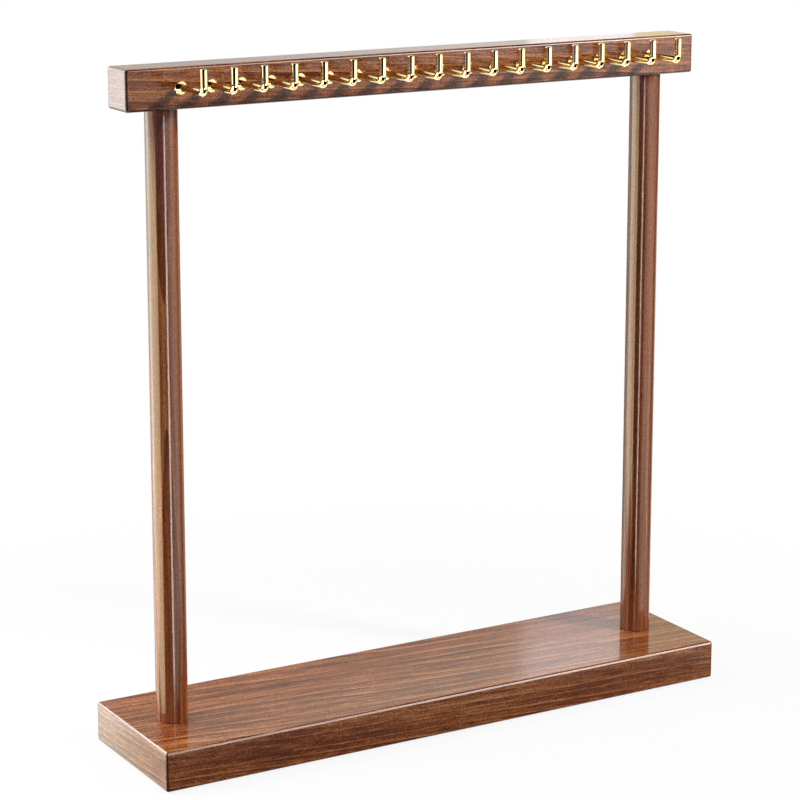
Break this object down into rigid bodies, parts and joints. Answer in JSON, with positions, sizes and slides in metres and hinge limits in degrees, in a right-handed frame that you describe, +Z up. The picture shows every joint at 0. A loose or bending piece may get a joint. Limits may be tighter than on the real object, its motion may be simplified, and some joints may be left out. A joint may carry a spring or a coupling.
{
  "type": "necklace stand",
  "caption": "Free-standing necklace stand: a flat wooden base, round posts and a square top bar with a row of polished right-angle screw hooks along its front.",
  "frame": {"origin": "on the surface that the stand rests on, under the middle of the base board", "axes": "+Z up along the posts, +X along the base to the right as seen from the hooks' side, -Y the way the hooks point"},
  "size_m": [0.308, 0.078, 0.33],
  "materials": {
    "walnut": "clear lacquer, glossy",
    "gold_plate": "polished gold plate",
    "insert_brass": "plain, machined",
    "zinc_steel": "zinc plated",
    "pad_felt": "pressed felt"
  },
  "bodies": {
    "root": {"base_board": "walnut", "post_left": "walnut", "post_right": "walnut", "top_bar": "walnut", "hook_01": "gold_plate", "hook_02": "gold_plate", "hook_03": "gold_plate", "hook_04": "gold_plate", "hook_05": "gold_plate", "hook_06": "gold_plate", "hook_07": "gold_plate", "hook_08": "gold_plate", "hook_09": "gold_plate", "hook_10": "gold_plate", "hook_11": "gold_plate", "hook_12": "gold_plate", "hook_13": "gold_plate", "hook_14": "gold_plate", "hook_15": "gold_plate", "hook_16": "gold_plate", "hook_17": "gold_plate", "hook_18": "gold_plate", "hook_collar_01": "gold_plate", "hook_collar_02": "gold_plate", "hook_collar_03": "gold_plate", "hook_collar_04": "gold_plate", "hook_collar_05": "gold_plate", "hook_collar_06": "gold_plate", "hook_collar_07": "gold_plate", "hook_collar_08": "gold_plate", "hook_collar_09": "gold_plate", "hook_collar_10": "gold_plate", "hook_collar_11": "gold_plate", "hook_collar_12": "gold_plate", "hook_collar_13": "gold_plate", "hook_collar_14": "gold_plate", "hook_collar_15": "gold_plate", "hook_collar_16": "gold_plate", "hook_collar_17": "gold_plate", "hook_collar_18": "gold_plate", "dowel_screw_left": "zinc_steel", "post_insert_left": "insert_brass", "base_screw_left": "zinc_steel", "dowel_screw_right": "zinc_steel", "post_insert_right": "insert_brass", "base_screw_right": "zinc_steel", "foot_pad_front_left": "pad_felt", "foot_pad_front_right": "pad_felt", "foot_pad_back_left": "pad_felt", "foot_pad_back_right": "pad_felt"}
  },
  "joints": []
}
